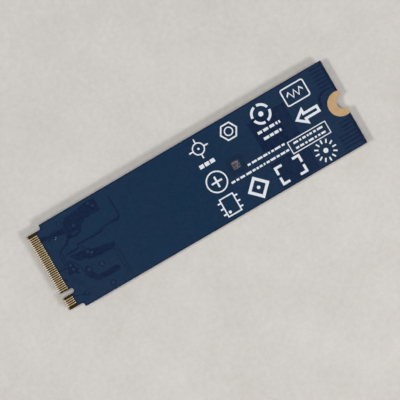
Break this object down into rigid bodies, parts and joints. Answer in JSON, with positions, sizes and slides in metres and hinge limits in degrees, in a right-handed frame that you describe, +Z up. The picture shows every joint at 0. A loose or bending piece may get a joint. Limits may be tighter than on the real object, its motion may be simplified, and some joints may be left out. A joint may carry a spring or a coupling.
{
  "type": "m.2 solid-state drive module",
  "caption": "Flat blue M.2 circuit board with a keyed gold-contact tongue, a half-round screw notch and memory, controller and power parts on its lower face.",
  "frame": {"origin": "centre of the board's outline, on the surface that the chips' outer faces rest on", "axes": "+X along the board from the tongue to the screw notch, +Y across it away from the key slot, +Z up through the board to its bare face"},
  "size_m": [0.08, 0.022, 0.002],
  "materials": {
    "solder_mask": "satin blue solder mask over glass-fibre laminate",
    "gold_plating": "smooth pale gold plating",
    "bare_land": "matte tan gold plating",
    "moulded_epoxy": "fine matte black moulding",
    "solder": "dull grey solder",
    "tinned_metal": "satin tin",
    "capacitor_ceramic": "fired brown ceramic",
    "alumina": "white alumina",
    "resistor_glaze": "black glaze",
    "inductor_composite": "pressed grey powder composite",
    "crystal_ceramic": "dark fired ceramic",
    "lid_metal": "pale plated steel"
  },
  "bodies": {
    "root": {"circuit_board": "solder_mask", "back_contacts": "gold_plating", "front_contacts": "gold_plating", "castellation_plating": "bare_land", "controller_package": "moulded_epoxy", "controller_solder_balls": "solder", "flash_package": "moulded_epoxy", "flash_solder_balls": "solder", "power_manager": "moulded_epoxy", "power_manager_lands": "tinned_metal", "input_switch": "moulded_epoxy", "input_switch_lands": "tinned_metal", "inductor_terminals": "tinned_metal", "bulk_capacitor_terminals": "tinned_metal", "coupling_capacitors": "capacitor_ceramic", "coupling_terminals": "tinned_metal", "resistor_bodies": "alumina", "resistor_overcoats": "resistor_glaze", "resistor_terminals": "tinned_metal", "decoupling_capacitors": "capacitor_ceramic", "decoupling_terminals": "tinned_metal", "crystal_base": "crystal_ceramic", "crystal_lid": "lid_metal", "crystal_pads": "gold_plating", "power_inductor_1": "inductor_composite", "bulk_capacitor_1": "capacitor_ceramic", "power_inductor_2": "inductor_composite", "bulk_capacitor_2": "capacitor_ceramic", "power_inductor_3": "inductor_composite", "bulk_capacitor_3": "capacitor_ceramic", "power_inductor_4": "inductor_composite", "bulk_capacitor_4": "capacitor_ceramic"}
  },
  "joints": []
}
